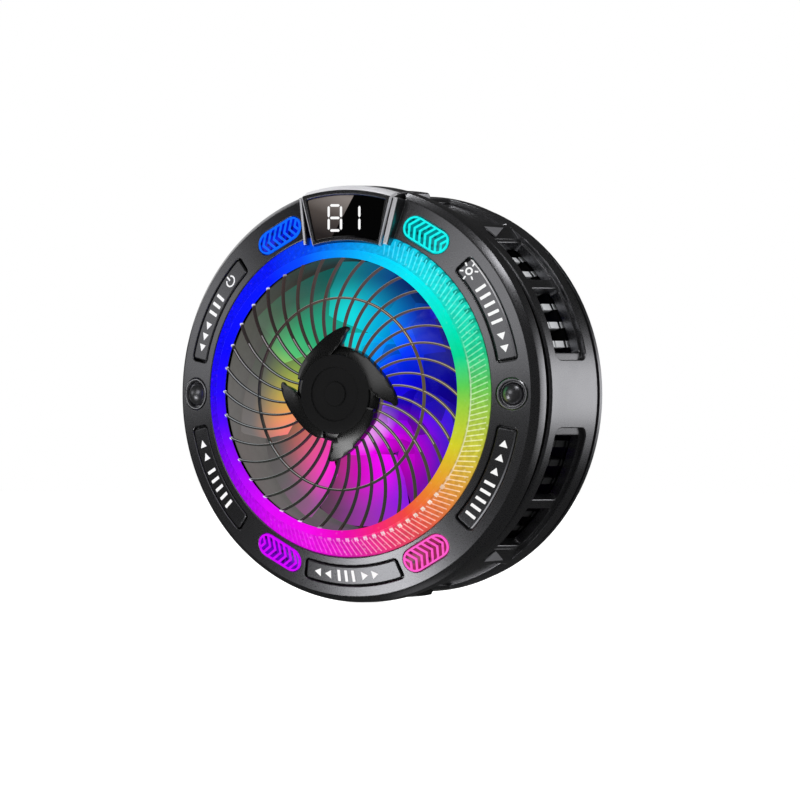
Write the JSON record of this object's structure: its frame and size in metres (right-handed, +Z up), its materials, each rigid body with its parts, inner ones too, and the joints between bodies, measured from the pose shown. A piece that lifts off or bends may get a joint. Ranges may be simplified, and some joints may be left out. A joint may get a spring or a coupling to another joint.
{
  "type": "phone cooling fan",
  "caption": "Round magnetic phone cooler: a cold plate and magnet ring behind, a caged axial fan in a lit ribbed ring in front, with push keys and a small display on the bezel.",
  "frame": {"origin": "centre of the contact face that lies on the phone", "axes": "+Y out of the contact face towards the phone, so the fan front faces -Y; +Z up with the display at 12 o'clock; +X to the right seen from the front"},
  "size_m": [0.068, 0.0331, 0.068],
  "materials": {
    "gunmetal": "satin dark grey",
    "panel_metal": "satin dark grey",
    "rear_metal": "satin grey",
    "rubber_pad": "soft matt silicone",
    "cold_metal": "brushed",
    "sink_metal": "milled",
    "nickel": "nickel plated",
    "steel": "plain",
    "bronze": "sintered",
    "copper": "enamelled winding",
    "ceramic": "matt",
    "pellet": "matt",
    "foam": "closed cell",
    "board": "solder mask",
    "white_board": "white solder mask",
    "film": "polyimide",
    "duct_plastic": "matt grey",
    "black_plastic": "gloss black",
    "grille_plastic": "satin",
    "clear_plastic": "translucent",
    "lens_plastic": "gloss",
    "switch_plastic": "matt",
    "ring_light": "translucent, lit",
    "light_blue": "translucent, lit",
    "light_cyan": "translucent, lit",
    "light_violet": "translucent, lit",
    "light_pink": "translucent, lit",
    "led": "translucent, lit"
  },
  "bodies": {
    "housing": {"rear_cover": "rear_metal", "silicone_pad": "rubber_pad", "magnet_ring": "nickel", "magnet_shield": "steel", "cold_plate": "cold_metal", "tec_cold_side": "ceramic", "tec_pellets": "pellet", "tec_hot_side": "ceramic", "insulator": "foam", "heat_sink": "sink_metal", "heat_sink_screws": "steel", "housing_screws": "steel", "mid_housing": "gunmetal", "control_board": "board", "usb_shell": "steel", "usb_tongue": "switch_plastic", "ribbon_cable": "film", "fan_frame": "duct_plastic", "bezel_screws": "steel", "motor_board": "board", "stator_core": "steel", "stator_coils": "copper", "bearing": "bronze", "led_board": "white_board", "leds": "led", "power_switch": "switch_plastic", "light_switch": "switch_plastic", "front_ring": "gunmetal", "light_ring": "ring_light", "grille": "grille_plastic", "hub_cap": "black_plastic", "display_frame": "gunmetal", "display_module": "switch_plastic", "display_lens": "lens_plastic", "panel_lower_left": "panel_metal", "panel_lower_right": "panel_metal", "panel_bottom": "panel_metal", "window_upper_right": "light_cyan", "window_upper_left": "light_blue", "window_lower_left": "light_violet", "window_lower_right": "light_pink", "left_stud": "black_plastic", "right_stud": "black_plastic"},
    "impeller": {"impeller": "clear_plastic", "rotor_yoke": "steel", "rotor_magnet": "switch_plastic", "shaft": "steel"},
    "power_key": {"power_key": "panel_metal"},
    "light_key": {"light_key": "panel_metal"}
  },
  "joints": [
    {"name": "impeller_spin", "type": "hinge", "parent": "housing", "child": "impeller", "pos_m": [0, -0.022, 0], "axis": [0, -1, 0], "continuous": true},
    {"name": "power_key_press", "type": "slide", "parent": "housing", "child": "power_key", "axis": [0, 1, 0], "range_m": [0, 0.0003], "stiffness_N_per_m": 2000, "springref_m": -0.0002},
    {"name": "light_key_press", "type": "slide", "parent": "housing", "child": "light_key", "axis": [0, 1, 0], "range_m": [0, 0.0003], "stiffness_N_per_m": 2000, "springref_m": -0.0002}
  ]
}
